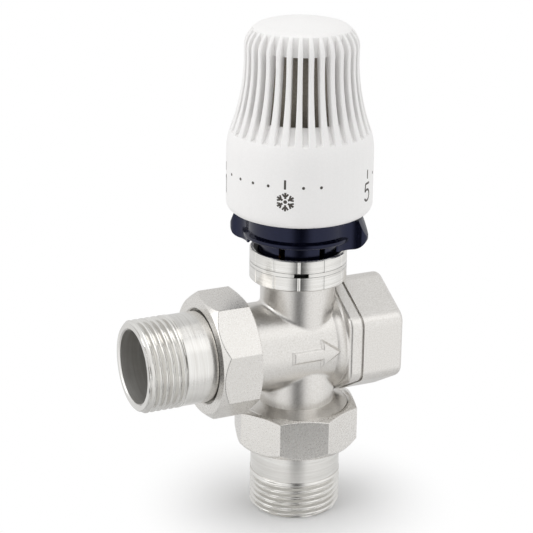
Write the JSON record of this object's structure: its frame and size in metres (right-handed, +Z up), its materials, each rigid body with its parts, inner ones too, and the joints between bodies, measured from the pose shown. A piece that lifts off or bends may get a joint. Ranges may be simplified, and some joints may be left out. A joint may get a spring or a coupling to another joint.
{
  "type": "three-way thermostatic valve",
  "caption": "Three-way radiator mixing valve with two union tailpieces, a threaded side port and a ribbed dial head whose screw lifts an inner plug between two seats.",
  "frame": {"origin": "centre of the bottom tailpiece's end face, on which the valve stands", "axes": "+Z up along the stem and the head, -X along the left tailpiece, +X along the threaded port, -Y towards the front"},
  "size_m": [0.0977, 0.052, 0.1828],
  "materials": {
    "cast_nickel": "satin",
    "bright_nickel": "polished",
    "brass": "satin",
    "steel": "satin",
    "rubber": "matte",
    "navy_plastic": "gloss",
    "white_plastic": "satin",
    "sensor_plastic": "matte"
  },
  "bodies": {
    "valve": {"valve_body": "cast_nickel", "lower_seat_ring": "brass", "left_tailpiece": "bright_nickel", "left_union_gasket": "rubber", "bottom_tailpiece": "bright_nickel", "bottom_union_gasket": "rubber", "bonnet": "brass", "bonnet_o_ring": "rubber", "stem_o_rings": "rubber", "gland_nut": "brass", "head_base": "navy_plastic"},
    "left_nut": {"left_union_nut": "bright_nickel"},
    "bottom_nut": {"bottom_union_nut": "bright_nickel"},
    "collar": {"collar_nut": "bright_nickel", "collar_snap_ring": "steel"},
    "lock": {"locking_ring": "navy_plastic"},
    "stem": {"stem": "steel", "valve_plug": "brass", "upper_plug_seal": "rubber", "lower_plug_seal": "rubber", "plug_nut": "brass", "return_spring": "steel", "spring_washer": "steel", "stem_clip": "steel"},
    "sensor": {"sensor_capsule": "sensor_plastic", "sensor_carrier": "sensor_plastic", "spring_cup": "steel", "overtravel_spring": "steel"},
    "pusher": {"pusher": "steel"},
    "wheel": {"handwheel": "white_plastic"}
  },
  "joints": [
    {"name": "left_union_turn", "type": "hinge", "parent": "valve", "child": "left_nut", "pos_m": [-0.031, 0, 0.064], "axis": [1, 0, 0], "continuous": true},
    {"name": "bottom_union_turn", "type": "hinge", "parent": "valve", "child": "bottom_nut", "pos_m": [0, 0, 0.033], "axis": [0, 0, 1], "continuous": true},
    {"name": "collar_turn", "type": "hinge", "parent": "valve", "child": "collar", "pos_m": [0, 0, 0.0945], "axis": [0, 0, 1], "continuous": true},
    {"name": "locking_ring_turn", "type": "hinge", "parent": "valve", "child": "lock", "pos_m": [0, 0, 0.11], "axis": [0, 0, 1], "range_deg": [0, 45]},
    {"name": "sensor_lift", "type": "slide", "parent": "valve", "child": "sensor", "axis": [0, 0, 1], "range_m": [0, 0.0027]},
    {"name": "handwheel_turn", "type": "hinge", "parent": "sensor", "child": "wheel", "pos_m": [0, 0, 0.148], "axis": [0, 0, 1], "range_deg": [0, 286]},
    {"name": "stem_lift", "type": "slide", "parent": "valve", "child": "stem", "axis": [0, 0, 1], "range_m": [0, 0.0027], "deforming": ["return_spring"]},
    {"name": "pusher_overtravel", "type": "slide", "parent": "sensor", "child": "pusher", "axis": [0, 0, 1], "range_m": [0, 0.003], "stiffness_N_per_m": 1000, "deforming": ["overtravel_spring"]}
  ],
  "couplings": [
    {"joint": "sensor_lift", "follows": "handwheel_turn", "m_per_rad": 0.0005409},
    {"joint": "stem_lift", "follows": "handwheel_turn", "m_per_rad": 0.0005409}
  ]
}
